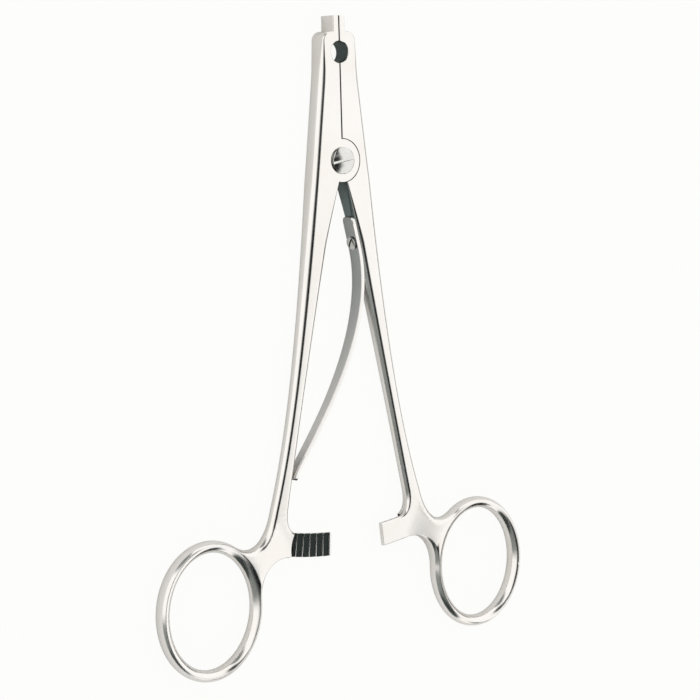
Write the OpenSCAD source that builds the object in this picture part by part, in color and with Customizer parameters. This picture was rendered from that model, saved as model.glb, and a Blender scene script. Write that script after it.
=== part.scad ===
// Clip applier forceps: two arms that do not cross, joined by a lap joint, with
// a leaf spring between the handles. Squeezing the rings opens the jaws.
// Millimetres. X runs across, Y points to the jaws, Z points up to the front face.
// The origin is on the pivot axis, in the plane of the back faces.

/* [Overall] */
// distance from the pivot axis to the tip of the jaws
jaw_len = 34.9; // [28:0.1:42]
// thickness of the jaws and of the lap joint
jaw_t = 4.8; // [4:0.1:6]
// thickness of the handles where they meet the rings, and of the ratchet bars
handle_t = 2.8; // [2.4:0.1:3.6]
// distance from the pivot axis down to where the shank meets the ring
shank_len = 83.7; // [70:0.1:96]

/* [Jaws] */
// half width of the pair of jaws at the pivot
pivot_half_w = 8.4; // [7.5:0.1:9.2]
// half width of the pair of jaws below the rounded shoulder
jaw_half_w = 5.0; // [4.4:0.1:5.8]
// radius of the rounding along the outer edges of the jaws
jaw_round = 1.3; // [0.6:0.1:1.8]
// radius of that rounding at the shoulders, near the tip
tip_round = 0.4; // [0.2:0.05:0.8]
// gap between the closed jaws
seam = 0.34; // [0.3:0.02:0.5]
// width of one tip prong
prong_w = 1.6; // [1.2:0.1:2.2]
// length of the tip prongs above the shoulder
prong_len = 3.8; // [2.5:0.1:5]
// rounding of the shoulder beside the prong
shoulder_r = 2.3; // [1.5:0.1:2.6]
// diameter of the round opening that the two jaws share
eye_d = 5.3; // [4:0.1:5.8]
// distance from the jaw tips down to the middle of the round opening
eye_drop = 8.75; // [7.5:0.05:10]
// width of the countersink round the front of the opening
eye_sink = 0.1; // [0.05:0.05:0.4]

/* [Lap joint] */
// radius of the round boss on the left arm and of the ear on the right arm
boss_r = 5.2; // [4.6:0.1:5.8]
// gap round the boss and the ear, inside the other arm's recess
boss_gap = 0.2; // [0.15:0.05:0.35]
// gap between the two halves of the lap joint
lap_gap = 0.06; // [0.04:0.02:0.12]
// diameter of the pivot screw's plain shaft
pivot_d = 3.6; // [3:0.1:4.2]
// radial running clearance of the pivot shaft in the boss
pivot_fit = 0.03; // [0.02:0.01:0.08]
// diameter of the pivot screw's domed head
pivot_head_d = 6.5; // [5.5:0.1:7.4]
// height of the dome
pivot_head_h = 1.0; // [0.7:0.1:1.4]
// running gap under the pivot screw's head
pivot_head_gap = 0.04; // [0.02:0.01:0.1]
// width of the screwdriver slot
pivot_slot_w = 0.7; // [0.5:0.05:1]
// angle of the slot from the X axis
pivot_slot_turn = 10; // [0:5:175]

/* [Shanks] */
// how much the outer edge spreads for each millimetre down the shank
outer_slope = 0.128; // [0.1:0.002:0.16]
// extra outward flare of the outer edge at the ring
outer_flare = 4; // [2.5:0.1:5]
// how much the inner edge spreads for each millimetre down the shank
inner_slope = 0.226; // [0.2:0.002:0.25]
// how far the inner edge curves back in at the ring
inner_curve = 0.6; // [0:0.1:1.6]
// width of the straight strip left along the middle of a shank's rounded side
flank = 0.2; // [0.1:0.05:0.6]
// distance down the shank over which its thickness runs out to the handle's
taper_len = 80; // [60:1:84]

/* [Finger rings] */
// centre of a ring, across from the pivot axis
ring_x = 41.8; // [38:0.1:46]
// centre of a ring, down from the pivot axis
ring_drop = 105.1; // [95:0.1:115]
// thickness of the rings from back to front
ring_t = 4.2; // [3.6:0.1:4.8]
// width of the finger opening, at its narrowest
hole_w = 23.8; // [21:0.2:25]
// height of the finger opening, at its narrowest
hole_h = 28.2; // [25:0.2:30]
// width of the ring's wall
ring_wall = 2.8; // [2.6:0.1:3.6]
// how far a ring's arched sides turn, in degrees from the middle to each face
ring_turn = 46; // [36:1:54]

/* [Ratchet] */
// radius of the upper edge of the ratchet bars, about the pivot
bar_r_in = 91.3; // [88:0.1:94]
// radius of the lower edge of the ratchet bars, about the pivot
bar_r_out = 97.1; // [94:0.1:99]
// how far the end of the left bar is from the centre plane
left_bar_end = 5.2; // [4:0.2:8]
// how far the end of the right bar is from the centre plane
right_bar_end = 10.6; // [8:0.2:13]
// distance from one tooth to the next
tooth_pitch = 2.05; // [1.6:0.05:2.6]
// depth of the teeth
tooth_depth = 0.35; // [0.3:0.05:0.6]
// flat crest left on each tooth
tooth_land = 0.06; // [0.04:0.02:0.2]
// gap between the crests of the two bars as they pass
crest_gap = 0.3; // [0.2:0.05:0.4]

/* [Leaf spring] */
// thickness of the spring strip
spring_t = 1.05; // [0.8:0.05:1.2]
// width of the strip at the screw
spring_w = 3.8; // [3:0.1:4]
// width of the strip at the toe
spring_toe_w = 2.7; // [2:0.1:3.2]
// distance from the pivot axis down to the top of the strip
spring_top = 13.7; // [13:0.1:16]
// depth of the flat seat cut into the rounded side for the strip, at its top
seat_depth = 0.47; // [0.3:0.01:0.6]
// sideways run of the seat for each millimetre down the shank
seat_slope = 0.235; // [0.2:0.005:0.25]
// length of the straight part that lies on the seat
seat_len = 8; // [7.5:0.5:10]
// distance from the top of the strip to its screw
spring_screw_drop = 6.6; // [5:0.2:7.5]
// diameter of the spring screw's head
spring_screw_head_d = 3.3; // [2.8:0.1:3.6]
// height of the spring screw's head
spring_screw_head_h = 0.8; // [0.5:0.1:1.1]
// diameter of the spring screw's shaft
spring_screw_d = 1.6; // [1.2:0.1:1.8]

/* [Hidden] */
$fn = 64;
steel = [0.80, 0.80, 0.78];
polished = [0.86, 0.86, 0.85];
spring_steel = [0.66, 0.67, 0.66];
mid_z = jaw_t / 2;
shoulder_y = jaw_len - prong_len;
eye_y = jaw_len - eye_drop;
recess_r = boss_r + boss_gap;

// The sides of an arm: a straight flank with a rounding to each face. Each level, from the
// back to the front, has its side of the middle plane and its share of the rounding's turn.
side_levels = [[-1, 1], [-1, 0.67], [-1, 0.33], [-1, 0], [1, 0], [1, 0.33], [1, 0.67], [1, 1]];
function level_in(l, r, turn) = r * (1 - cos(turn * l[1]));
function level_z(l, h, r, turn) = l[0] * (h - r * sin(turn) + r * sin(turn * l[1]));
function full_round(h, turn) = (h - flank / 2) / sin(turn);

function ramp(v, a, b) = min(1, max(0, (v - a) / (b - a)));
function bezier(p, t) =
    p[0] * pow(1 - t, 3) + p[1] * 3 * t * pow(1 - t, 2)
    + p[2] * 3 * t * t * (1 - t) + p[3] * pow(t, 3);
function bezier_dir(p, t) =
    (p[1] - p[0]) * pow(1 - t, 2) + (p[2] - p[1]) * 2 * t * (1 - t) + (p[3] - p[2]) * t * t;
function inward(v) = [v[1], -v[0]] / norm(v);

// Half of an arm's thickness, its outer edge and its inner edge at height y.
function half_t(y) =
    handle_t / 2 + (y > 0 ? 1 : pow(1 - ramp(-y, 0, taper_len), 2)) * (jaw_t - handle_t) / 2;
function jaw_x(y) = pivot_half_w - (pivot_half_w - jaw_half_w) * y / (shoulder_y - shoulder_r);
function shank_x(d) = pivot_half_w + outer_slope * d + outer_flare * pow(d / shank_len, 4);
function outer_x(y) = y > 0 ? jaw_x(y) : shank_x(-y);
function edge_round(y) =
    tip_round + (jaw_round - tip_round) * ramp(shoulder_mid[1] - y, 0, 8)
    + (full_round(half_t(y), 90) - jaw_round) * ramp(-y, 5, 40);
function inner_x(y) =
    max(seam / 2, -inner_slope * y - inner_curve * pow(max(0, -y) / shank_len, 3));

// One outline point: x, y, the inward direction, half thickness, and the rounding's radius
// and turn.
function edge(p, dir, h, r, turn = 90) = [p[0], p[1], dir[0], dir[1], h, r, turn];
shoulder_mid = [jaw_half_w - shoulder_r, shoulder_y - shoulder_r];
tip_edges = concat(
    [edge([seam / 2 + prong_w, jaw_len], [-1, 0], jaw_t / 2, 0.15)],
    [edge([seam / 2 + prong_w, shoulder_y + 0.3], [-1, 0], jaw_t / 2, 0.15)],
    [edge([seam / 2 + prong_w + 0.25, shoulder_y + 0.05], [-0.7, -0.7], jaw_t / 2, 0.25)],
    [for (a = [85:-17:0])
        edge(shoulder_mid + shoulder_r * [cos(a), sin(a)], [-cos(a), -sin(a)], jaw_t / 2,
            tip_round)]
);
shank_ys = [for (y = [24, 20, 8, 2, -3, -7, -11, -15]) y];
lower_ys = [for (i = [1:16]) -15 - (shank_len - 15) * i / 16];
outer_edges = concat(tip_edges, [
    for (y = concat(shank_ys, lower_ys))
        edge([outer_x(y), y], [-1, 0], half_t(y), edge_round(y))
]);
inner_edges = [
    for (i = [len(outer_edges) - 1:-1:0])
        let (y = outer_edges[i][1])
            edge([inner_x(y), y], [1, 0], half_t(y),
                0.06 + (full_round(half_t(y), 90) - 0.06) * ramp(-y, 4, 20))
];

// The foot of an arm: the fillet to the ring, the ring, and the root of the ratchet bar.
ring_mid = [ring_x, -ring_drop];
ring_rx = hole_w / 2 + ring_wall;
ring_ry = hole_h / 2 + ring_wall;
ring_r = full_round(ring_t / 2, ring_turn);
function on_ring(a) = ring_mid + [ring_rx * cos(a), ring_ry * sin(a)];
function ring_dir(a) = [ring_rx * sin(a), -ring_ry * cos(a)];
ring_from = 120;
ring_to = -183;
root_turn = 9.5;
shank_foot = [outer_x(-shank_len), -shank_len];
inner_foot = [inner_x(-shank_len), -shank_len];
foot_mid = [shank_foot[0] - 1.1, -bar_r_in];
root_in = bar_r_in + 0.06;
root_out = bar_r_out - 0.06;
bar_top = root_in * [sin(root_turn), -cos(root_turn)];
bar_low = root_out * [sin(root_turn), -cos(root_turn)];
bar_root = root_out * [sin(root_turn + 1.2), -cos(root_turn + 1.2)];
fillet_outer = [
    shank_foot,
    shank_foot + [1.9, -7.3],
    on_ring(ring_from) - 6.6 * ring_dir(ring_from) / norm(ring_dir(ring_from)),
    on_ring(ring_from)
];
fillet_lower = [on_ring(ring_to), on_ring(ring_to) + [0.3, 5.4], bar_root + [6.4, 0.8], bar_root];
fillet_inner = [bar_top, bar_top + [3.4, 0.4], inner_foot + [0.8, -3.6], inner_foot];
function foot_h(t) =
    let (u = ramp(t, 0.4, 1))
        handle_t / 2 + (ring_t - handle_t) / 2 * u * u * (3 - 2 * u);
foot_edges = concat(
    [for (i = [1:9]) let (t = i / 10, turn = 90 + (ring_turn - 90) * t)
        edge(bezier(fillet_outer, t), inward(bezier_dir(fillet_outer, t)),
            foot_h(t), full_round(foot_h(t), turn), turn)],
    [for (i = [0:42]) let (a = ring_from + (ring_to - ring_from) * i / 42)
        edge(on_ring(a), inward(ring_dir(a)), ring_t / 2, ring_r, ring_turn)],
    [for (i = [1:9]) let (t = i / 10)
        edge(bezier(fillet_lower, t), inward(bezier_dir(fillet_lower, t)),
            foot_h(1 - t), ring_r + (0.5 - ring_r) * t, ring_turn)],
    [edge(bar_low, [0.2, 0.2], handle_t / 2, 1)],
    [edge(bar_top, [0.2, -0.2], handle_t / 2, 1)],
    [for (i = [1:7]) let (t = i / 8)
        edge(bezier(fillet_inner, t), inward(bezier_dir(fillet_inner, t)), handle_t / 2,
            0.3 + (full_round(handle_t / 2, 90) - 0.3) * t)]
);

// A solid whose outline is given by edge points, with rounded sides.
module arm_blank() {
    edges = concat(outer_edges, foot_edges, inner_edges);
    n = len(edges);
    s = len(outer_edges);
    top = (len(side_levels) - 1) * n;
    points = [
        for (l = side_levels, e = edges)
            let (inset = level_in(l, e[5], e[6]))
                [e[0] + e[2] * inset, e[1] + e[3] * inset, mid_z + level_z(l, e[4], e[5], e[6])]
    ];
    sides = [
        for (k = [0:len(side_levels) - 2], i = [0:n - 1])
            let (j = (i + 1) % n)
                [j + (k + 1) * n, i + (k + 1) * n, i + k * n, j + k * n]
    ];
    strips = [for (i = [0:s - 2]) [i, i + 1, n - 2 - i, n - 1 - i]];
    hub_h = [ring_t / 2, handle_t / 2];
    mids = [ring_mid, foot_mid];
    hubs = [for (i = [0, 1]) [mids[i][0], mids[i][1], mid_z + hub_h[i]]];
    under = [for (i = [0, 1]) [mids[i][0], mids[i][1], mid_z - hub_h[i]]];
    first = s + 4;
    last = s + 9 + 43 + 4;
    loop = concat([for (i = [last:n - s]) i], [for (i = [s - 1:first]) i]);
    fans = concat(
        [for (i = [first:last - 1]) [i, i + 1, 0]],
        [[last, first, 0]],
        [for (i = [0:len(loop) - 1]) [loop[i], loop[(i + 1) % len(loop)], 1]]
    );
    faces = concat(
        [for (f = strips) [for (v = f) v + top]],
        [for (f = fans) [f[0] + top, f[1] + top, len(points) + f[2]]]
    );
    backs = concat(
        [for (f = strips) [for (i = [3:-1:0]) f[i]]],
        [for (f = fans) [f[1], f[0], len(points) + 2 + f[2]]]
    );
    polyhedron(points = concat(points, hubs, under), faces = concat(sides, faces, backs), convexity = 8);
}

// The finger opening: waisted, so the ring's wall swells towards the middle of the hole.
module finger_opening() {
    n = 48;
    wide = 1.2 * level_in([1, 1], ring_r, ring_turn);
    levels = concat([[wide, -ring_t]],
        [for (l = side_levels) [level_in(l, ring_r, ring_turn), level_z(l, ring_t / 2, ring_r, ring_turn)]],
        [[wide, ring_t]]);
    m = len(levels);
    points = [
        for (l = levels, i = [0:n - 1])
            [(hole_w / 2 + l[0]) * cos(i * 360 / n), (hole_h / 2 + l[0]) * sin(i * 360 / n), l[1]]
    ];
    sides = [
        for (k = [0:m - 2], i = [0:n - 1])
            let (j = (i + 1) % n)
                [i + (k + 1) * n, j + (k + 1) * n, j + k * n, i + k * n]
    ];
    caps = [[for (i = [0:n - 1]) i], [for (i = [n - 1:-1:0]) i + (m - 1) * n]];
    translate([ring_x, -ring_drop, mid_z])
        polyhedron(points = points, faces = concat(sides, caps), convexity = 4);
}

// A piece of a ratchet bar from the root to the end, as a flat arc about the pivot.
module ratchet_bar(end_x, z0, z1) {
    end_turn = asin(end_x / bar_r_out);
    bevel = 0.3;
    rotate([0, 0, -90 + end_turn])
        rotate_extrude(angle = root_turn + 2.5 - end_turn, $fn = 96)
            polygon([
                [bar_r_in, z0], [bar_r_out, z0],
                [bar_r_out, z1 - bevel], [bar_r_out - bevel, z1],
                [bar_r_in + bevel, z1], [bar_r_in, z1 - bevel]
            ]);
}

// Saw teeth across a bar, cut downwards from z = 0: the slopes face the bar's end and the
// steep sides its root, so two bars hold each other and the handles can't spread.
module tooth_cuts(end_x, count) {
    end_turn = asin(end_x / bar_r_out);
    pitch_turn = tooth_pitch / ((bar_r_in + bar_r_out) / 2) * 180 / PI;
    slope_len = (tooth_pitch - tooth_land) * (1 + 0.1 / tooth_depth);
    for (i = [0:count - 1])
        rotate([0, 0, -90 + end_turn + 0.25 + i * pitch_turn])
            translate([bar_r_in - 1, 0, 0])
                rotate([90, 0, 90])
                    linear_extrude(height = bar_r_out - bar_r_in + 2)
                        polygon([[0, 0.1], [0, -tooth_depth], [slope_len, 0.1]]);
}

// The space a bar's root leaves free for the other bar, above z = 0, beyond a round step.
module bar_clearance() {
    step_x = 18.4;
    step_r = 9;
    mid_y = -(bar_r_in + bar_r_out) / 2;
    translate([step_x - step_r, mid_y, 0])
        cylinder(r = step_r, h = ring_t, $fn = 96);
}

// The part of that space as high as the bars only, so the fillet above it stays whole.
module bar_path() {
    difference() {
        bar_clearance();
        translate([0, 0, -1])
            cylinder(r = bar_r_in - crest_gap, h = ring_t + 2, $fn = 96);
    }
}

module eye_and_bore(bore_d) {
    translate([0, eye_y, -1])
        cylinder(d = eye_d, h = jaw_t + 2);
    translate([0, eye_y, jaw_t - eye_sink])
        cylinder(d1 = eye_d, d2 = eye_d + 4 * eye_sink, h = 2 * eye_sink);
    translate([0, 0, -1])
        cylinder(d = bore_d, h = jaw_t + 2);
}

module left_arm() {
    crest_z = mid_z - crest_gap / 2;
    color(steel)
        difference() {
            union() {
                difference() {
                    mirror([1, 0, 0])
                        difference() {
                            arm_blank();
                            finger_opening();
                            translate([0, 0, crest_z])
                                bar_clearance();
                        }
                    translate([0, 0, -1])
                        cylinder(r = recess_r, h = mid_z + lap_gap / 2 + 1);
                }
                translate([0, 0, mid_z + lap_gap / 2])
                    cylinder(r = boss_r, h = mid_z - lap_gap / 2);
                mirror([1, 0, 0])
                    ratchet_bar(left_bar_end, mid_z - handle_t / 2, crest_z);
            }
            mirror([1, 0, 0])
                translate([0, 0, crest_z])
                    intersection() {
                        tooth_cuts(left_bar_end, 7);
                        translate([0, 0, -1])
                            bar_clearance();
                    }
            eye_and_bore(pivot_d + 2 * pivot_fit);
        }
}

module right_arm() {
    crest_z = mid_z + crest_gap / 2;
    color(steel)
        difference() {
            union() {
                difference() {
                    arm_blank();
                    finger_opening();
                    translate([0, 0, crest_z - ring_t])
                        bar_path();
                    translate([0, 0, mid_z - lap_gap / 2])
                        cylinder(r = recess_r, h = mid_z + 1);
                    spring_seat() seat_cut();
                }
                cylinder(r = boss_r, h = mid_z - lap_gap / 2);
                ratchet_bar(right_bar_end, crest_z, mid_z + handle_t / 2);
            }
            translate([0, 0, crest_z])
                mirror([0, 0, 1])
                    tooth_cuts(right_bar_end, 4);
            eye_and_bore(pivot_d);
            spring_seat()
                translate([0, -spring_screw_drop, 0])
                    rotate([0, 90, 0])
                        cylinder(d = spring_screw_d, h = 2.2, $fn = 32);
        }
}

// The spring's seat: X points out of the arm's inner side into the metal, Y up the spring.
seat_turn = atan(seat_slope);
seat_at = [inner_x(-spring_top) + seat_depth, -spring_top];
module spring_seat() {
    translate([seat_at[0], seat_at[1], mid_z])
        rotate([0, 0, seat_turn])
            children();
}

module seat_cut() {
    translate([-3, -seat_len - 3, -3])
        cube([3, seat_len + 3.1, 6]);
}

// The middle line of the strip: straight on the seat, then bowed over to the left arm.
function seat_point(v) = seat_at + [
    v[0] * cos(seat_turn) - v[1] * sin(seat_turn),
    v[0] * sin(seat_turn) + v[1] * cos(seat_turn)
];
spring_end = seat_point([-spring_t / 2, 0.2]);
bend_from = seat_point([-spring_t / 2, -seat_len]);
toe_y = -76.7;
toe_at = [-inner_x(toe_y) + spring_t / 2 + 0.2, toe_y + 0.5];
bend = [
    bend_from,
    bend_from + 25 * [sin(seat_turn), -cos(seat_turn)],
    [-16.45, -73.4],
    toe_at
];
strip_line = concat(
    [[spring_end, bend_from - spring_end]],
    [for (i = [0:30]) [bezier(bend, i / 30), bezier_dir(bend, i / 30)]]
);

// The strip's width, seen from the side: round at the top, narrower towards the toe.
module strip_face() {
    taper_from = -spring_top - 20;
    taper_to = toe_y + 17;
    corner_r = 1.4;
    half = spring_w / 2;
    toe_half = spring_toe_w / 2;
    polygon(concat(
        [for (a = [0:15:90]) [corner_r * (sin(a) - 1) - spring_top, half - corner_r + corner_r * cos(a)]],
        [for (a = [90:15:180]) [corner_r * (sin(a) - 1) - spring_top, corner_r - half + corner_r * cos(a)]],
        [[taper_from, -half], [taper_to, -toe_half], [toe_y - 2, -toe_half]],
        [[toe_y - 2, toe_half], [taper_to, toe_half], [taper_from, half]]
    ));
}

module leaf_spring() {
    half = spring_t / 2;
    left = [for (p = strip_line) p[0] + half * inward(p[1])];
    right = [for (p = strip_line) p[0] - half * inward(p[1])];
    n = len(strip_line);
    nose = [
        for (a = [15:15:165])
            toe_at + half * (cos(a) * inward(strip_line[n - 1][1])
                + sin(a) * strip_line[n - 1][1] / norm(strip_line[n - 1][1]))
    ];
    color(spring_steel)
        difference() {
            intersection() {
                linear_extrude(height = jaw_t)
                    polygon(concat(left, nose, [for (i = [n - 1:-1:0]) right[i]]));
                translate([-ring_x, 0, mid_z])
                    rotate([90, 0, 90])
                        linear_extrude(height = 2 * ring_x)
                            strip_face();
            }
            spring_seat()
                translate([-spring_t - 1, -spring_screw_drop, 0])
                    rotate([0, 90, 0])
                        cylinder(d = spring_screw_d, h = spring_t + 2, $fn = 32);
        }
}

// A low domed head on a plain shaft; the dome's foot is at z = 0 and the slot runs along X.
module slotted_screw(head_d, head_h, shaft_d, shaft_l, slot_w, rim) {
    dome_r = (pow(head_d / 2, 2) + pow(head_h - rim, 2)) / (2 * (head_h - rim));
    difference() {
        union() {
            rotate_extrude()
                intersection() {
                    translate([0, head_h - dome_r])
                        circle(r = dome_r, $fn = 180);
                    square([head_d / 2, head_h]);
                }
            translate([0, 0, -shaft_l])
                cylinder(d = shaft_d, h = shaft_l + rim / 2, $fn = 48);
        }
        translate([-head_d, -slot_w / 2, head_h * 0.45])
            cube([2 * head_d, slot_w, head_h]);
    }
}

module pivot_screw() {
    color(polished)
        translate([0, 0, jaw_t + pivot_head_gap])
            rotate([0, 0, pivot_slot_turn])
                slotted_screw(pivot_head_d, pivot_head_h, pivot_d, jaw_t + pivot_head_gap,
                    pivot_slot_w, 0.25);
}

module spring_screw() {
    color(polished)
        spring_seat()
            translate([-spring_t, -spring_screw_drop, 0])
                rotate([0, -90, 0])
                    rotate([0, 0, 55])
                        slotted_screw(spring_screw_head_d, spring_screw_head_h, spring_screw_d,
                            spring_t + 2, 0.5, 0.2);
}

left_arm();
right_arm();
pivot_screw();
leaf_spring();
spring_screw();
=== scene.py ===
import math
import bmesh
import bpy
from mathutils import Matrix, Vector
from mathutils.geometry import delaunay_2d_cdt


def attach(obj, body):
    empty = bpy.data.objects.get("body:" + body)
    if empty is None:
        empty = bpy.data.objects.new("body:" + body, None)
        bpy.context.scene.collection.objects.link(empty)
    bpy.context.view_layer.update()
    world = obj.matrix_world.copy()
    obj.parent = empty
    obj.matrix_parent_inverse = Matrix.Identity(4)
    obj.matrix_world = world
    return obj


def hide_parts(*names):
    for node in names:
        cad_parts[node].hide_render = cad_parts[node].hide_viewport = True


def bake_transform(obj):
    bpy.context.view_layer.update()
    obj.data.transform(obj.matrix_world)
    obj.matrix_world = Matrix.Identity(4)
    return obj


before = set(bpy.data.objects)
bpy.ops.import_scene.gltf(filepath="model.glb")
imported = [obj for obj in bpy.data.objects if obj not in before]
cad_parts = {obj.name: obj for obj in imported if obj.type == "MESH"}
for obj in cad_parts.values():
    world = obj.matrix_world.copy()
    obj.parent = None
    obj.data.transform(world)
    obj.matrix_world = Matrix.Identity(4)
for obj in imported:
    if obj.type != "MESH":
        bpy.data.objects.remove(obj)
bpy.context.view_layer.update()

MM = 0.001


# Camera: above the forceps and to its left, with the jaws at the top of the picture. It looks
# at a point on the shanks.
cam_turn, cam_lift, cam_roll = math.radians(38), math.radians(5.87), math.radians(-1.61)
cam_target, cam_far = Vector((0.6, -46.3, 4.8)) * MM, 0.5415
towards = Vector((-math.sin(cam_turn) * math.cos(cam_lift), math.sin(cam_lift),
                  math.cos(cam_turn) * math.cos(cam_lift)))
level = Vector((math.cos(cam_turn), 0, math.sin(cam_turn)))
upright = towards.cross(level)
cam_right = math.cos(cam_roll) * level + math.sin(cam_roll) * upright
cam_up = towards.cross(cam_right)
camera = bpy.data.objects.new("camera", bpy.data.cameras.new("camera"))
camera.matrix_world = Matrix((cam_right, cam_up, towards)).transposed().to_4x4()
camera.matrix_world.translation = cam_target + cam_far * towards
camera.data.lens = 113.68
camera.data.sensor_width = 36
camera.data.clip_start = 0.01
bpy.context.scene.collection.objects.link(camera)
bpy.context.scene.camera = camera
bpy.context.scene.view_settings.view_transform = "Standard"


# The table: a white matt sheet under the forceps, in a white room that lights it evenly from
# all sides. The sheet is 16 m wide, so that no view shows its edge.
def new_material(name):
    material = bpy.data.materials.new(name)
    material.use_nodes = True
    return material, material.node_tree


def add_node(tree, kind, links=None, **settings):
    """Adds a node. Links go into its inputs, from a socket or as a plain value; settings go to
    its properties, or to the input of that name."""
    node = tree.nodes.new(kind)
    for key, value in settings.items():
        if hasattr(node, key):
            setattr(node, key, value)
        else:
            node.inputs[key.replace("_", " ")].default_value = value
    for key, source in (links or {}).items():
        if isinstance(source, bpy.types.NodeSocket):
            tree.links.new(source, node.inputs[key])
        else:
            node.inputs[key].default_value = source
    return node


def from_hex(code):
    """An sRGB hex colour as linear RGBA."""
    parts = [int(code[i:i + 2], 16) / 255 for i in (1, 3, 5)]
    return [c / 12.92 if c <= 0.04045 else ((c + 0.055) / 1.055) ** 2.4 for c in parts] + [1]


def make_object(name, points, faces, scale=MM):
    mesh = bpy.data.meshes.new(name)
    mesh.from_pydata([Vector(p) * scale for p in points], [], faces)
    mesh.update()
    obj = bpy.data.objects.new(name, mesh)
    bpy.context.scene.collection.objects.link(obj)
    return obj


sheet_z, sheet_half = -0.00002, 8
sheet_corners = [(-sheet_half, -sheet_half), (sheet_half, -sheet_half),
                 (sheet_half, sheet_half), (-sheet_half, sheet_half)]
floor = make_object("floor", [(x, y, sheet_z) for x, y in sheet_corners], [(0, 1, 2, 3)], 1)
# White matt paper. The camera sees it as near white with the forceps' soft shadow. The metal sees
# it a little brighter on the right: painted light, a white glow that the sheet gives only to
# reflections and that grows towards the right.
white_sheet, tree = new_material("white_table_sheet")
tree.nodes.clear()
matt = add_node(tree, "ShaderNodeBsdfDiffuse", Color=from_hex("#D8D8D7"))
white = add_node(tree, "ShaderNodeEmission", Color=from_hex("#FFFFFD"), Strength=1.0)
path = add_node(tree, "ShaderNodeLightPath")
place = add_node(tree, "ShaderNodeTexCoord")
across = add_node(tree, "ShaderNodeSeparateXYZ", {0: place.outputs["Object"]})
# Painted light: the white glow that the metal sees rises from left to right.
painted_glow = add_node(tree, "ShaderNodeMapRange", {"Value": across.outputs["X"]},
                From_Min=0.0, From_Max=0.4, To_Min=0.02, To_Max=0.5)
in_metal = add_node(tree, "ShaderNodeMath", {0: path.outputs["Is Glossy Ray"],
                                             1: path.outputs["Is Transmission Ray"]},
                    operation="ADD")
in_metal = add_node(tree, "ShaderNodeMath", {0: in_metal.outputs[0], 1: painted_glow.outputs[0]},
                    operation="MULTIPLY")
share = add_node(tree, "ShaderNodeMath", {0: path.outputs["Is Camera Ray"], 1: 0.95,
                                          2: in_metal.outputs[0]}, operation="MULTIPLY_ADD")
mixed = add_node(tree, "ShaderNodeMixShader",
                 {0: share.outputs[0], 1: matt.outputs[0], 2: white.outputs[0]})
add_node(tree, "ShaderNodeOutputMaterial", {"Surface": mixed.outputs[0]})
floor.data.materials.append(white_sheet)

world = bpy.data.worlds.new("white_room")
bpy.context.scene.world = world
world.use_nodes = True
tree = world.node_tree
tree.nodes.clear()
light = add_node(tree, "ShaderNodeBackground", Color=from_hex("#FFFFFF"), Strength=1.0)
add_node(tree, "ShaderNodeOutputWorld", {"Surface": light.outputs[0]})


# Eight curved cards of black and grey felt round the table, out of the picture, as a studio
# hangs them for polished steel. The black ones on the camera's side show in the metal as the
# dark line along each rounded edge, and the grey ones shade the rings, shanks and bar ends.
# Felt is matt, so no card adds a glare of its own.
def clamp01(v):
    return min(1.0, max(0.0, v))


def smooth(u):
    return u * u * (3 - 2 * u)


def studio_card(name, shade, elevations, tilts, radius):
    """A soft-edged patch of a half pipe round the Y axis, seen only in the metal. Its angles
    are seen from the forceps: elevations from the left floor (0) over the top (90) to the right
    floor (180), tilts towards the jaws. Each gives where it begins, is full, is still full, and
    ends."""
    def cover(v, stops):
        return smooth(clamp01(min((v - stops[0]) / (stops[1] - stops[0]),
                                  (stops[3] - v) / (stops[3] - stops[2]))))

    steps = 40
    points, faces, covers = [], [], []
    for i in range(steps + 1):
        elevation = elevations[0] + (elevations[3] - elevations[0]) * i / steps
        for k in range(steps + 1):
            tilt = tilts[0] + (tilts[3] - tilts[0]) * k / steps
            points.append((-radius * math.cos(math.radians(elevation)),
                           radius * math.tan(math.radians(tilt)),
                           radius * math.sin(math.radians(elevation))))
            covers.append(cover(elevation, elevations) * cover(tilt, tilts))
            if i and k:
                m = len(points) - 1
                faces.append((m, m - 1, m - steps - 2, m - steps - 1))
    card = make_object(name, points, faces, 1)
    layer = card.data.attributes.new("cover", "FLOAT", "POINT")
    layer.data.foreach_set("value", covers)
    felt, tree = new_material(name)
    tree.nodes.clear()
    seen = add_node(tree, "ShaderNodeAttribute", attribute_name="cover")
    clear = add_node(tree, "ShaderNodeBsdfTransparent")
    matt = add_node(tree, "ShaderNodeBsdfDiffuse", Color=from_hex(shade))
    mixed = add_node(tree, "ShaderNodeMixShader",
                     {0: seen.outputs["Fac"], 1: clear.outputs[0], 2: matt.outputs[0]})
    add_node(tree, "ShaderNodeOutputMaterial", {"Surface": mixed.outputs[0]})
    card.data.materials.append(felt)
    card.visible_camera = False
    card.visible_diffuse = False
    card.visible_shadow = False


studio_card("dark_camera_side", "#141C1E", (60, 88, 109, 121), (-44, -32, 6, 17), 2.2)
studio_card("dark_jaw_side", "#141C1E", (84, 94, 107, 116), (8, 16, 46, 58), 2.25)
studio_card("dark_handle_end", "#3C4442", (-6, 3, 96, 112), (-90, -84, -52, -40), 2.35)
studio_card("grey_handle_side", "#8F9493", (-8, 3, 92, 104), (-76, -66, -22, -6), 2.4)
studio_card("grey_over_rings", "#8A8F8E", (-12, 2, 66, 82), (42, 56, 84, 90), 2.4)
studio_card("dark_far_strip", "#101615", (167, 172, 179, 180), (-62, -54, 18, 28), 2.45)
studio_card("dark_far_handle_end", "#1A211F", (132, 142, 178, 180), (-66, -58, -42, -34), 2.5)
studio_card("grey_over_shanks", "#D2D4D3", (100, 108, 115, 130), (-20, -14, -9, -5), 2.5)


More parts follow.
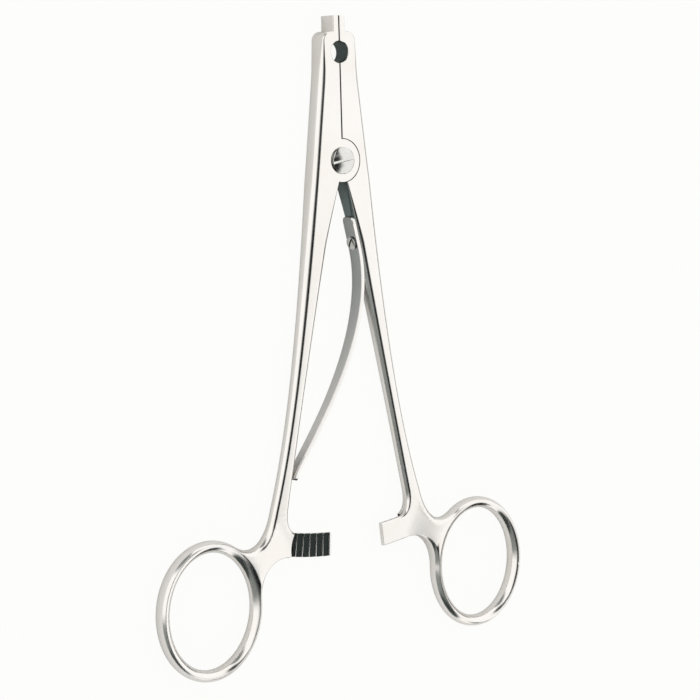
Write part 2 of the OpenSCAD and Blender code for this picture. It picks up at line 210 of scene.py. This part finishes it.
# The two arms: stainless steel forgings, mirror images in outline. Each is one piece from
# prong to finger ring, satin polished all over, with arched sides and softly rounded edges.
# Sizes are millimetres and degrees. Both arms come from the rules for the right one.
jaw_len, jaw_t, handle_t, shank_len, taper_len = 34.9, 4.8, 2.8, 83.7, 80
pivot_half_w, jaw_half_w, seam, prong_w, prong_len, shoulder_r = 8.4, 5.0, 0.34, 1.6, 3.8, 2.3
outer_spread, outer_flare, inner_spread, inner_bow = 0.128, 4, 0.226, 0.6
jaw_round, tip_round, prong_round, seam_round = 1.6, 0.45, 0.15, 0.06
root_round, crotch_round, flank, run_out = 0.5, 0.3, 0.2, 1.3
ring_mid, hole_w, hole_h, ring_wall, ring_t = Vector((41.8, -105.1)), 23.8, 28.2, 2.8, 4.2
ring_turn, inner_turn, hole_turn = 46, 70, 68
ring_from, ring_to = 120, -183
swell_from, swell_len = 1.72, 0.67
boss_r, lap_gap, boss_gap = 5.2, 0.06, 0.2
bar_r_in, bar_r_out, root_turn, bar_gap = 91.3, 97.1, 9.5, 0.3
eye_r, eye_sink, eye_down = 2.65, 0.2, 8.75
eye_y, mid_z, shoulder_y = jaw_len - eye_down, jaw_t / 2, jaw_len - prong_len


def bezier(p, t):
    return (p[0] * (1 - t) ** 3 + p[1] * 3 * t * (1 - t) ** 2
            + p[2] * 3 * t * t * (1 - t) + p[3] * t ** 3)


def bezier_dir(p, t):
    return (p[1] - p[0]) * (1 - t) ** 2 + (p[2] - p[1]) * 2 * t * (1 - t) + (p[3] - p[2]) * t * t


def inward(v):
    """The side of a way along the outline on which the metal lies."""
    return Vector((v[1], -v[0])).normalized()


def half_t(y):
    """Half the thickness at height y: full at the jaws, tapering to the handle."""
    taper = (1 - clamp01((-y - boss_r) / (taper_len - boss_r))) ** 2
    return handle_t / 2 + taper * (jaw_t - handle_t) / 2


def outer_x(y):
    if y > 0:
        return pivot_half_w - (pivot_half_w - jaw_half_w) * y / (shoulder_y - shoulder_r)
    return pivot_half_w - outer_spread * y + outer_flare * (-y / shank_len) ** 4


def inner_x(y):
    return max(seam / 2, -inner_spread * y - inner_bow * (max(0, -y) / shank_len) ** 3)


def on_ring(a):
    """A point on the ring's outer edge, at an angle about its middle."""
    a = math.radians(a)
    return ring_mid + Vector(((hole_w / 2 + ring_wall) * math.cos(a),
                              (hole_h / 2 + ring_wall) * math.sin(a)))


def ring_dir(a):
    a = math.radians(a)
    return Vector(((hole_w / 2 + ring_wall) * math.sin(a), -(hole_h / 2 + ring_wall) * math.cos(a)))


def at_turn(r, turn):
    """A point at radius r about the pivot, turned out from the middle line."""
    return r * Vector((math.sin(math.radians(turn)), -math.cos(math.radians(turn))))


def full_round(h, turn):
    """The radius at which a rounding takes up all of a side but its flank."""
    return (h - flank / 2) / math.sin(math.radians(turn))


def ring_turn_at(a):
    """The rounding turns further on the ring's side towards the middle of the forceps."""
    return ring_turn + (inner_turn - ring_turn) * smooth(clamp01((-a - 50) / 100))


def side_profile(h, r, turn, flatter=1.0):
    """(inset, z) from the middle of an arm's side up to its face: a flank, then the rounding,
    whose last 25 degrees can have a flatter curve where it runs out into the face."""
    bend, last, steps = math.radians(65), math.radians(turn), 11
    top = max(0, math.sin(last) - math.sin(bend)) if turn > 65 else 0
    small = r * math.sin(last) / (math.sin(last) + (flatter - 1) * top)
    arc = [(0, 0)]
    for i in range(steps + 1):
        a = last * i / steps
        low = min(a, bend)
        inset = small * (1 - math.cos(low)) + flatter * small * (math.cos(low) - math.cos(a))
        rise = small * math.sin(low) + flatter * small * (math.sin(a) - math.sin(low))
        arc.append((inset, h - r * math.sin(last) + rise))
    return arc


def ring_distance(x, y):
    """How far a point is from the ring's middle: 1 on the ring's outer edge."""
    return math.hypot((x - ring_mid.x) / (hole_w / 2 + ring_wall),
                      (y - ring_mid.y) / (hole_h / 2 + ring_wall))


def foot_half(x, y):
    """Half the thickness on the foot, which swells smoothly up to the ring's thickness."""
    u = clamp01((swell_from - ring_distance(x, y)) / swell_len)
    return handle_t / 2 + (ring_t - handle_t) / 2 * (u + smooth(u)) / 2


fillet_steps, ring_steps = 30, 126


def arm_outline():
    """Outline points of the right arm's blank: (point, inward direction, half thickness, the
    rounding's radius and turn), down the outer side, round the foot and up the inner side."""
    shoulder = Vector((jaw_half_w - shoulder_r, shoulder_y - shoulder_r))
    left_way = Vector((-1, 0))
    prong_x, h = seam / 2 + prong_w, jaw_t / 2
    outer = [(Vector((prong_x, jaw_len)), left_way, h, prong_round, 90),
             (Vector((prong_x, shoulder_y + 0.35)), left_way, h, prong_round, 90),
             (Vector((prong_x + 0.08, shoulder_y + 0.1)), Vector((-0.9, -0.3)), h, 0.2, 90),
             (Vector((prong_x + 0.3, shoulder_y + 0.02)), Vector((-0.6, -0.8)), h, 0.25, 90)]
    for a in range(84, -1, -6):
        way = Vector((math.cos(math.radians(a)), math.sin(math.radians(a))))
        outer.append((shoulder + shoulder_r * way, -way, h, tip_round, 90))
    ys = [27, 25, 22, 19, 16, 13, 10, 7.5, 5, 3, 1.5, 0, -1, -2.5, -4, -5.5, -7, -9, -11, -13]
    ys += [-15 - (shank_len - 15) * i / 48 for i in range(49)]
    for y in ys:
        soft = (tip_round + (jaw_round - tip_round) * clamp01((shoulder.y - y) / 8)
                + (full_round(half_t(y), 90) - jaw_round) * clamp01((-y - 5) / 35))
        outer.append((Vector((outer_x(y), y)), left_way, half_t(y), soft, 90))
    inner = []
    for p, *_ in reversed(outer):
        full = full_round(half_t(p.y), 90)
        inner.append((Vector((inner_x(p.y), p.y)), -left_way, half_t(p.y),
                      seam_round + (full - seam_round) * clamp01((-p.y - 4) / 16), 90))

    # Three fillet curves join the shank, the ring and the bar, whose root stays just inside.
    foot = Vector((outer_x(-shank_len), -shank_len))
    inner_foot = Vector((inner_x(-shank_len), -shank_len))
    low = at_turn(bar_r_out - 0.06, root_turn)
    top = at_turn(bar_r_in + 0.06, root_turn)
    root = at_turn(bar_r_out - 0.06, root_turn + 1.2)
    curve_out = [foot, foot + Vector((1.9, -7.3)),
                 on_ring(ring_from) - 6.6 * ring_dir(ring_from).normalized(), on_ring(ring_from)]
    curve_low = [on_ring(ring_to), on_ring(ring_to) + Vector((0.3, 5.4)),
                 root + Vector((6.4, 0.8)), root]
    curve_in = [top, top + Vector((3.4, 0.4)), inner_foot + Vector((0.8, -3.6)), inner_foot]
    around = []
    for i in range(1, fillet_steps):
        t = i / fillet_steps
        p, turn = bezier(curve_out, t), 90 + (ring_turn - 90) * t
        half = foot_half(*p)
        around.append((p, inward(bezier_dir(curve_out, t)), half, full_round(half, turn), turn))
    for i in range(ring_steps + 1):
        a = ring_from + (ring_to - ring_from) * i / ring_steps
        turn = ring_turn_at(a)
        around.append((on_ring(a), inward(ring_dir(a)), ring_t / 2,
                       full_round(ring_t / 2, turn), turn))
    for i in range(1, fillet_steps):
        t = i / fillet_steps
        p, turn = bezier(curve_low, t), inner_turn + (ring_turn - inner_turn) * t
        full = full_round(foot_half(*p), turn)
        around.append((p, inward(bezier_dir(curve_low, t)), foot_half(*p),
                       full + (root_round - full) * t, turn))
    around.append((low, Vector((0.3, 0.36)), handle_t / 2, 1, 90))
    around.append((top, Vector((0.3, -0.36)), handle_t / 2, 1, 90))
    for i in range(1, 24):
        t = i / 24
        around.append((bezier(curve_in, t), inward(bezier_dir(curve_in, t)), handle_t / 2,
                       crotch_round + (full_round(handle_t / 2, 90) - crotch_round) * t, 90))
    return outer, around, inner


def lofted(name, loops, closed_ends):
    """A closed solid from loops of equally many points, with the faces that close its ends."""
    n = len(loops[0])
    points = [p for loop in loops for p in loop]
    faces = []
    for k in range(len(loops) - 1):
        for i in range(n):
            j = (i + 1) % n
            faces.append((i + k * n, j + k * n, j + (k + 1) * n, i + (k + 1) * n))
    extra, ends = closed_ends(len(points), (len(loops) - 1) * n)
    return make_object(name, points + extra, faces + ends)


def plain_ends(n):
    return lambda count, top: ([], [tuple(range(n - 1, -1, -1)), tuple(top + i for i in range(n))])


def outward(obj):
    bm = bmesh.new()
    bm.from_mesh(obj.data)
    bmesh.ops.recalc_face_normals(bm, faces=bm.faces)
    bm.to_mesh(obj.data)
    bm.free()
    return obj


def foot_grid(rim):
    """Points in a square grid on the foot's face, inside its rim and kept a little off it."""
    corner, step, count, off_rim = Vector((8, -128)), 0.8, 60, 0.45
    found = []
    for i in range(count):
        for j in range(count):
            p = Vector((corner.x + step * i, corner.y + step * j))
            if not 1.03 < ring_distance(*p) < 1.8:
                continue
            inside, near = False, False
            for a, b in zip(rim, rim[1:] + rim[:1]):
                crossing = (a.y > p.y) != (b.y > p.y)
                if crossing and p.x < a.x + (b.x - a.x) * (p.y - a.y) / (b.y - a.y):
                    inside = not inside
                near = near or (a - p).length < off_rim
            if inside and not near:
                found.append(p)
    return found


def arm_blank(name):
    """The right arm's forging, before anything is cut: the outline at each level of its side,
    closed by quads along the shank and by a fine triangle grid on the swelling foot."""
    outer, around, inner = arm_outline()
    edges = outer + around + inner
    to_ring = len(outer) + fillet_steps - 1
    half = [side_profile(h, r, turn, run_out if i < to_ring else 1)
            for i, (_, _, h, r, turn) in enumerate(edges)]
    m = len(half[0])
    levels = [(-1, k) for k in range(m - 1, 0, -1)] + [(1, k) for k in range(m)]
    loops = [[(p.x + d.x * prof[k][0], p.y + d.y * prof[k][0], mid_z + side * prof[k][1])
              for (p, d, *_), prof in zip(edges, half)] for side, k in levels]
    n, s = len(edges), len(outer)
    rim = list(range(s - 1, n - s + 1))
    rim_points = [Vector(loops[0][i][:2]) for i in rim]
    grid = foot_grid(rim_points)
    closed = [(i, (i + 1) % len(rim)) for i in range(len(rim))]
    _, _, triangles, origin, _, _ = delaunay_2d_cdt(rim_points + grid, closed, [], 1, 1e-6)

    def ends(count, top):
        extra, faces = [], []
        for base, side in ((0, -1), (top, 1)):
            start = count + len(extra)
            extra += [(p.x, p.y, mid_z + side * foot_half(*p)) for p in grid]
            where = [base + rim[v[0]] if v[0] < len(rim) else start + v[0] - len(rim)
                     for v in origin]
            faces += [(base + i, base + i + 1, base + n - 2 - i, base + n - 1 - i)
                      for i in range(s - 1)]
            faces += [tuple(where[v] for v in t) for t in triangles]
        return extra, faces

    return outward(lofted(name, loops, ends))


def circle(r, at, z, n):
    turns = [2 * math.pi * i / n for i in range(n)]
    return [(at[0] + r * math.cos(a), at[1] + r * math.sin(a), z) for a in turns]


def disc(name, radius, z0, z1, at=(0, 0), radius_top=None, n=128):
    top = circle(radius if radius_top is None else radius_top, at, z1, n)
    return lofted(name, [circle(radius, at, z0, n), top], plain_ends(n))


def block(name, corners, z0, z1):
    low = [(x, y, z0) for x, y in corners]
    return lofted(name, [low, [(x, y, z1) for x, y in corners]], plain_ends(len(corners)))


def finger_opening():
    """The finger opening's cutter: its edge is rounded wider on the side of the foot."""
    n, foot_side, wider = 144, math.radians(150), 0.8
    half = side_profile(ring_t / 2, full_round(ring_t / 2, hole_turn), hole_turn)
    levels = [(x, -z) for x, z in reversed(half[1:])] + half
    levels = [(levels[0][0] * 1.2, -ring_t)] + levels + [(levels[-1][0] * 1.2, ring_t)]
    loops = []
    for x, z in levels:
        loop = []
        for i in range(n):
            a = 2 * math.pi * i / n
            wide = x * (1 + wider * max(0, math.cos(a - foot_side)) ** 2)
            loop.append((ring_mid.x + (hole_w / 2 + wide) * math.cos(a),
                         ring_mid.y + (hole_h / 2 + wide) * math.sin(a), mid_z + z))
        loops.append(loop)
    return lofted("opening", loops, plain_ends(n))


def cut(obj, tools, kind="DIFFERENCE"):
    """Carves the tools from obj, or joins them to it, and deletes them."""
    for tool in tools:
        mod = obj.modifiers.new("cut", "BOOLEAN")
        mod.operation = kind
        mod.solver = "EXACT"
        mod.object = tool
    dg = bpy.context.evaluated_depsgraph_get()
    mesh = bpy.data.meshes.new_from_object(obj.evaluated_get(dg))
    obj.modifiers.clear()
    obj.data = mesh
    for tool in tools:
        bpy.data.objects.remove(tool)


def mirror(obj):
    obj.data.transform(Matrix.Diagonal((-1, 1, 1, 1)))
    obj.data.flip_normals()


def end_turn(end_x):
    """How far the end of a bar is turned out from the middle line, in degrees."""
    return math.degrees(math.asin(end_x / bar_r_out))


def ratchet_bar(end_x, z_plain, z_crest):
    """An arc about the pivot from the bar's end to its root, bevelled along both faces: wide on
    the plain face, fine on the toothed one."""
    wide, fine, steps = 0.3, 0.1, 12
    way = 1 if z_crest > z_plain else -1
    section = [(bar_r_in + wide, z_plain), (bar_r_out - wide, z_plain),
               (bar_r_out, z_plain + way * wide), (bar_r_out, z_crest - way * fine),
               (bar_r_out - fine, z_crest), (bar_r_in + fine, z_crest),
               (bar_r_in, z_crest - way * fine), (bar_r_in, z_plain + way * wide)]
    first, last = end_turn(end_x), root_turn + 2.5
    loops = []
    for i in range(steps + 1):
        turn = first + (last - first) * i / steps
        loops.append([(*at_turn(r, turn), z) for r, z in section])
    return outward(lofted("bar", loops, plain_ends(len(section))))


def tooth_cutters(end_x, count, z_crest, sign):
    """Wedges that cut the saw teeth: slopes to the bar's end, steep sides to its root."""
    pitch, depth, land, over = 2.05, 0.35, 0.06, 0.1
    pitch_turn = math.degrees(pitch / ((bar_r_in + bar_r_out) / 2))
    slope_len = (pitch - land) * (1 + over / depth)
    wedges = []
    for i in range(count):
        turn = end_turn(end_x) + 0.25 + i * pitch_turn
        away = at_turn(1, turn + 90)
        loops = []
        for r in (bar_r_in - 1, bar_r_out + 1):
            foot = at_turn(r, turn)
            loops.append([(*(foot + away * u), z_crest + sign * v)
                          for u, v in ((0, over), (0, -depth), (slope_len, over))])
        wedges.append(outward(lofted("wedge", loops, plain_ends(3))))
    return wedges


def finish_mesh(obj):
    """Smooth shading with sharp edges kept, and flat faces left flat."""
    obj.data.shade_smooth()
    obj.data.set_sharp_from_angle(angle=math.radians(28))
    weighted = obj.modifiers.new("weighted", "WEIGHTED_NORMAL")
    weighted.mode = "FACE_AREA"
    weighted.weight = 100
    weighted.keep_sharp = True


# Satin polished stainless steel, a slightly warm grey-white, so light spreads a little but
# dark edges stay crisp. Its grain runs lengthwise, 9 lines to the millimetre, drawn coarser
# than the real one so that it shows, and its wiping marks are 11 mm clouds. The edges are
# broken by 0.09 mm on the shanks and by 0.4 mm on the rings.
steel, tree = new_material("satin_stainless_steel")
shader = tree.nodes["Principled BSDF"]
shader.inputs["Metallic"].default_value = 1
place = add_node(tree, "ShaderNodeTexCoord")
stretch = add_node(tree, "ShaderNodeMapping", {"Vector": place.outputs["Object"],
                                               "Scale": Vector((9, 0.9, 9)) / MM})
grain = add_node(tree, "ShaderNodeTexNoise", {"Vector": stretch.outputs[0]}, Scale=1.0, Detail=3.0)
cloud = add_node(tree, "ShaderNodeTexNoise", {"Vector": place.outputs["Object"]},
                 Scale=1 / (11.11 * MM), Detail=4.0)
tint = add_node(tree, "ShaderNodeValToRGB", {"Fac": cloud.outputs["Fac"]})
for stop, at, code in zip(tint.color_ramp.elements, (0.3, 0.7), ("#FAF5EF", "#FFFCF8")):
    stop.position, stop.color = at, from_hex(code)
tree.links.new(tint.outputs["Color"], shader.inputs["Base Color"])
rough = add_node(tree, "ShaderNodeMapRange", {"Value": cloud.outputs["Fac"]},
                 To_Min=0.14, To_Max=0.19)
tree.links.new(rough.outputs[0], shader.inputs["Roughness"])
where = add_node(tree, "ShaderNodeSeparateXYZ", {0: place.outputs["Object"]})
off = add_node(tree, "ShaderNodeMath", {0: where.outputs["X"]}, operation="ABSOLUTE")
soft = add_node(tree, "ShaderNodeMapRange", {"Value": off.outputs[0]}, From_Min=20.5 * MM,
                From_Max=26 * MM, To_Min=0.09 * MM, To_Max=0.4 * MM)
round_edge = add_node(tree, "ShaderNodeBevel", {"Radius": soft.outputs[0]}, samples=8)
bump = add_node(tree, "ShaderNodeBump", {"Height": grain.outputs["Fac"],
                                         "Normal": round_edge.outputs[0]},
                Strength=0.06, Distance=0.01 * MM)
tree.links.new(bump.outputs[0], shader.inputs["Normal"])


def steel_with_painted_shade(name, dark):
    """Steel with painted shade for the walls inside the eye, next to the joint and between the
    teeth: matt steel with a fine 0.4 mm mottle, painted deep grey between the bright faces as shade
    and dark reflection. Along the middle of the shanks the painted shade fades to bright."""
    material, tree = new_material(name)
    shader = tree.nodes["Principled BSDF"]
    shader.inputs["Metallic"].default_value = 1
    place = add_node(tree, "ShaderNodeTexCoord")
    mottle = add_node(tree, "ShaderNodeTexNoise", {"Vector": place.outputs["Object"]},
                      Scale=1 / (0.4 * MM), Detail=4.0)
    where = add_node(tree, "ShaderNodeSeparateXYZ", {0: place.outputs["Object"]})
    off = add_node(tree, "ShaderNodeMath", {0: where.outputs["Y"], 1: 45 * MM}, operation="ADD")
    off_mid_shank = add_node(tree, "ShaderNodeMath", {0: off.outputs[0]}, operation="ABSOLUTE")
    fade = add_node(tree, "ShaderNodeMapRange", {"Value": off_mid_shank.outputs[0]},
                    From_Min=12 * MM, From_Max=28 * MM)
    shade = add_node(tree, "ShaderNodeMath", {0: mottle.outputs["Fac"], 1: 0.25,
                                              2: fade.outputs[0]}, operation="MULTIPLY_ADD")
    tint = add_node(tree, "ShaderNodeValToRGB", {"Fac": shade.outputs[0]})
    for stop, at, code in zip(tint.color_ramp.elements, (0.1, 1.0), ("#F2EEE9", dark)):
        stop.position, stop.color = at, from_hex(code)
    tree.links.new(tint.outputs["Color"], shader.inputs["Base Color"])
    rough = add_node(tree, "ShaderNodeMapRange", {"Value": mottle.outputs["Fac"]},
                     To_Min=0.25, To_Max=0.4)
    tree.links.new(rough.outputs[0], shader.inputs["Roughness"])
    return material


# Two steels with painted shade: grey for the inner walls and the eye, near black for the joint's
# walls, the teeth, the screws' rims and slots and the spring's toe.
shade_painted_steel = steel_with_painted_shade("stainless_steel_painted_shade", "#8A9694")
deep_shade_painted_steel = steel_with_painted_shade("stainless_steel_deep_painted_shade", "#2C3331")


def finished_arm(name, body, blank, bar_end, teeth, bore, side):
    """Cuts an arm from its blank. The left arm (side -1) carries the boss in front and its bar
    behind; the right arm (side 1) the reverse."""
    lap_z = mid_z - side * lap_gap / 2
    crest_z = mid_z + side * bar_gap / 2
    # A round step thins the arm at the bar's root to the bar's own half, where the other passes.
    step_at, step_r = (9.4, -(bar_r_in + bar_r_out) / 2), 9
    z0, z1 = sorted((crest_z, crest_z - side * ring_t))
    step = disc("step", step_r, z0, z1, step_at)
    wedges = tooth_cutters(bar_end, teeth, crest_z, -side)
    if side < 0:
        for wedge in wedges:
            cut(wedge, [disc("within", step_r, crest_z - 1, crest_z + 1, step_at)], "INTERSECT")
    else:
        cut(step, [disc("above", bar_r_in - 0.3, -3, 6, n=512)])
    cut(blank, [finger_opening(), step])
    bar = ratchet_bar(bar_end, mid_z + side * handle_t / 2, crest_z)
    if side < 0:
        for piece in [blank, bar] + wedges:
            mirror(piece)
    # The lap joint: half the thickness is recessed for the other arm's boss, and the arm's own
    # boss fills the other half. The bar is joined on, and then its teeth are cut.
    z0, z1 = sorted((lap_z, mid_z + side * (jaw_t / 2 + 1)))
    cut(blank, [disc("recess", boss_r + boss_gap, z0, z1)])
    z0, z1 = sorted((lap_z, mid_z - side * jaw_t / 2))
    cut(blank, [disc("boss", boss_r, z0, z1), bar], "UNION")
    cut(blank, wedges)
    cut(blank, [disc("eye", eye_r, -1, jaw_t + 1, (0, eye_y)),
                disc("sink", eye_r, jaw_t - 0.1, jaw_t + 0.1, (0, eye_y), eye_r + eye_sink),
                disc("bore", bore, -1, jaw_t + 1)])
    blank.name = name
    blank.data.name = name
    blank.data.materials.clear()
    for material in (steel, shade_painted_steel, deep_shade_painted_steel):
        blank.data.materials.append(material)
    # Material 1, the steel with painted shade, goes to the inner walls and the eye; 2, with deeper
    # painted shade, to the joint's walls and the teeth.
    for face in blank.data.polygons:
        x, y = face.center.x / MM, face.center.y / MM
        from_pivot, upright_wall = math.hypot(x, y), abs(face.normal.z) < 0.7
        in_eye = math.hypot(x, y - eye_y) < eye_r + 0.15
        inside = y > -30 and abs(x) < inner_x(y) + 0.6 and side * face.normal.x < -0.5
        in_joint = boss_r - 0.1 < from_pivot < boss_r + boss_gap + 0.1
        in_bar = (bar_end + 0.3 < side * x < 21
                  and bar_r_in - 0.2 < from_pivot < bar_r_out + 0.2)
        in_teeth = in_bar and side * face.normal.x < -0.08 and abs(face.normal.y) < 0.5
        if upright_wall and (in_eye or inside):
            face.material_index = 1
        elif in_teeth or upright_wall and in_joint:
            face.material_index = 2
        else:
            face.material_index = 0
    finish_mesh(blank)
    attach(blank, body)
    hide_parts(name)


finished_arm("left_arm", "left_handle", arm_blank("left_blank"),
             bar_end=5.2, teeth=7, bore=1.83, side=-1)

# The right arm has a flat seat for the spring, milled into its inner side.
right_blank = arm_blank("right_blank")
seat_y, seat_turn = -13.7, math.atan(0.235)
seat_at = Vector((inner_x(seat_y) + 0.47, seat_y))


def at_seat(u, v):
    """A point in the spring's seat frame: u out of the arm into its metal, v up the spring."""
    return seat_at + Vector((u * math.cos(seat_turn) - v * math.sin(seat_turn),
                             u * math.sin(seat_turn) + v * math.cos(seat_turn)))


seat_len, seat_cut = 11, 3
seat_corners = [at_seat(-seat_cut, -seat_len), at_seat(0, -seat_len),
                at_seat(0, 0.1), at_seat(-seat_cut, 0.1)]
cut(right_blank, [block("seat", seat_corners, mid_z - seat_cut, mid_z + seat_cut)])
finished_arm("right_arm", "right_handle", right_blank, bar_end=10.6, teeth=4, bore=1.8, side=1)


# The leaf spring: one strip of ground spring steel, straight on its seat on the right arm and
# bowed over to the left arm, where its rounded toe only rests. Its long edges are broken.
spring_t, spring_round, corner_r = 1.05, 0.12, 1.4
spring_half_w, toe_half_w, narrow_from, narrow_to = 1.9, 1.35, -33.7, -59.7
down_seat = Vector((math.sin(seat_turn), -math.cos(seat_turn)))
bend_from = at_seat(-spring_t / 2, -8)
toe_at = Vector((-inner_x(-76.7) + spring_t / 2 + 0.2, -76.2))
bend = [bend_from, bend_from + 25 * down_seat, Vector((-16.45, -73.4)), toe_at]


def strip_half(y):
    """Half the strip's width at height y, round at the top and narrower towards the toe."""
    narrow = clamp01((narrow_from - y) / (narrow_from - narrow_to))
    half = spring_half_w - (spring_half_w - toe_half_w) * narrow
    down = seat_y - y
    if down < corner_r:
        half -= corner_r - math.sqrt(max(0, corner_r ** 2 - (corner_r - max(0.0, down)) ** 2))
    return half


stations = [(at_seat(-spring_t / 2, -down), down_seat, 1)
            for down in (0.02, 0.06, 0.15, 0.3, 0.5, 0.75, 1.05, 1.4, 2, 3, 4, 5, 6, 7)]
for i in range(81):
    stations.append((bezier(bend, i / 80), bezier_dir(bend, i / 80).normalized(), 1))
toe_way = stations[-1][1]
for a in range(10, 90, 10):
    tip = spring_t / 2 * math.sin(math.radians(a))
    stations.append((toe_at + toe_way * tip, toe_way, math.cos(math.radians(a))))
loops = []
for p, way, thick in stations:
    side, half = inward(way), strip_half(p.y)
    h, soft = spring_t / 2 * thick, spring_round * thick
    ring = []
    for cx, cz, first in ((h - soft, half - soft, 0), (soft - h, half - soft, 90),
                          (soft - h, soft - half, 180), (h - soft, soft - half, 270)):
        for a in (0, 30, 60, 90):
            turn = math.radians(first + a)
            ring.append((cx + soft * math.cos(turn), cz + soft * math.sin(turn)))
    loops.append([(p.x + side.x * u, p.y + side.y * u, mid_z + v) for u, v in ring])
spring = outward(lofted("leaf_spring_strip", loops, plain_ends(16)))

# Ground spring steel: a neutral grey, a shade darker than the arms, with painted light that turns
# it paler down to the toe. Its grain runs lengthwise, 6 lines to the millimetre, drawn coarse
# enough to show.
ground_strip, tree = new_material("ground_spring_steel")
shader = tree.nodes["Principled BSDF"]
shader.inputs["Metallic"].default_value = 1
place = add_node(tree, "ShaderNodeTexCoord")
stretch = add_node(tree, "ShaderNodeMapping", {"Vector": place.outputs["Object"],
                                               "Scale": Vector((6, 0.5, 6)) / MM})
grain = add_node(tree, "ShaderNodeTexNoise", {"Vector": stretch.outputs[0]}, Scale=1.0, Detail=3.0)
where = add_node(tree, "ShaderNodeSeparateXYZ", {0: place.outputs["Object"]})
# Painted light: the strip gets paler from y -30 mm down to the toe.
painted_light_down = add_node(tree, "ShaderNodeMapRange", {"Value": where.outputs["Y"]},
                 From_Min=-30 * MM, From_Max=-72 * MM)
shade = add_node(tree, "ShaderNodeMath", {0: grain.outputs["Fac"], 1: 0.2, 2: painted_light_down.outputs[0]},
                 operation="MULTIPLY_ADD")
tint = add_node(tree, "ShaderNodeValToRGB", {"Fac": shade.outputs[0]})
for stop, code in zip(tint.color_ramp.elements, ("#B3B6B4", "#EDEBE8")):
    stop.color = from_hex(code)
tree.links.new(tint.outputs["Color"], shader.inputs["Base Color"])
rough = add_node(tree, "ShaderNodeMapRange", {"Value": grain.outputs["Fac"]},
                 To_Min=0.2, To_Max=0.28)
tree.links.new(rough.outputs[0], shader.inputs["Roughness"])
for material in (ground_strip, steel, deep_shade_painted_steel):
    spring.data.materials.append(material)
# The toe's end takes the near-black painted shade, for the shadow at the toe; the faces towards z
# take the arms' steel.
for face in spring.data.polygons:
    at_toe = face.center.y < (toe_at.y - spring_round) * MM
    face.material_index = 2 if at_toe else int(abs(face.normal.z) > 0.6)
finish_mesh(spring)
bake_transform(spring)
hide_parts("leaf_spring")


# The two screws: turned and polished heads, domed, with a sawn slot, on plain shafts. The
# large one is the pivot and the small one holds the spring down on its seat.
def slotted_screw(name, head_d, head_h, shaft_d, shaft_l, slot_w, rim, slot_turn):
    """A screw with its axis on z: the dome is polished, and its rim and the slot's sides take the
    near-black painted shade.
    """
    n, steps, chamfer = 96, 25, 0.06
    sphere = ((head_d / 2) ** 2 + (head_h - rim) ** 2) / (2 * (head_h - rim))
    steepest = math.asin(head_d / 2 / sphere)
    profile = [(shaft_d / 2, -shaft_l), (shaft_d / 2, 0), (head_d / 2 - chamfer, 0),
               (head_d / 2, chamfer), (head_d / 2, rim - 0.04)]
    for i in range(1, steps):
        a = steepest * (1 - i / steps)
        profile.append((sphere * math.sin(a), head_h - sphere + sphere * math.cos(a)))
    profile.append((0.02, head_h))
    screw = outward(lofted(name, [circle(r, (0, 0), z, n) for r, z in profile], plain_ends(n)))
    slot_corners = [(-head_d, -slot_w / 2), (head_d, -slot_w / 2),
                    (head_d, slot_w / 2), (-head_d, slot_w / 2)]
    cut(screw, [outward(block("slot", slot_corners, head_h * 0.45, head_h + 1))])
    screw.data.materials.clear()
    screw.data.materials.append(polished)
    screw.data.materials.append(deep_shade_painted_steel)
    # Painted shade: the rim and the slot's sides, whose faces stand upright, take the near-black
    # steel.
    for face in screw.data.polygons:
        face.material_index = int(abs(face.normal.z) < 0.5)
    screw.data.transform(Matrix.Rotation(math.radians(slot_turn), 4, "Z"))
    return screw


# Polished stainless steel: a plain grey-white with the faint 1.4 mm cloudiness that a
# polishing wheel leaves, so the dome runs from light to dark in one sweep.
polished, tree = new_material("polished_stainless_steel")
shader = tree.nodes["Principled BSDF"]
shader.inputs["Metallic"].default_value = 1
place = add_node(tree, "ShaderNodeTexCoord")
cloud = add_node(tree, "ShaderNodeTexNoise", {"Vector": place.outputs["Object"]},
                 Scale=1 / (1.43 * MM), Detail=4.0)
tint = add_node(tree, "ShaderNodeValToRGB", {"Fac": cloud.outputs["Fac"]})
for stop, at, code in zip(tint.color_ramp.elements, (0.3, 0.7), ("#E2E1DC", "#EEEDE9")):
    stop.position, stop.color = at, from_hex(code)
tree.links.new(tint.outputs["Color"], shader.inputs["Base Color"])
rough = add_node(tree, "ShaderNodeMapRange", {"Value": cloud.outputs["Fac"]},
                 To_Min=0.14, To_Max=0.2)
tree.links.new(rough.outputs[0], shader.inputs["Roughness"])

pivot_l, clamp_down = jaw_t + 0.04, 6.6
pivot = slotted_screw("pivot_screw_part", head_d=6.5, head_h=1.0, shaft_d=3.6, shaft_l=pivot_l,
                      slot_w=0.6, rim=0.48, slot_turn=10)
pivot.data.transform(Matrix.Translation((0, 0, pivot_l * MM)))
clamp = slotted_screw("spring_screw_part", head_d=3.3, head_h=0.8, shaft_d=1.6,
                      shaft_l=spring_t + 2, slot_w=0.5, rim=0.4, slot_turn=55)
clamp.data.transform(Matrix.Rotation(math.radians(-90), 4, "Y"))
clamp.data.transform(Matrix.Translation(Vector((-spring_t, -clamp_down, 0)) * MM))
clamp.data.transform(Matrix.Rotation(seat_turn, 4, "Z"))
clamp.data.transform(Matrix.Translation(Vector((seat_at.x, seat_at.y, mid_z)) * MM))
for screw, node in ((pivot, "pivot_screw"), (clamp, "spring_screw")):
    finish_mesh(screw)
    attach(screw, "right_handle")
    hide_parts(node)
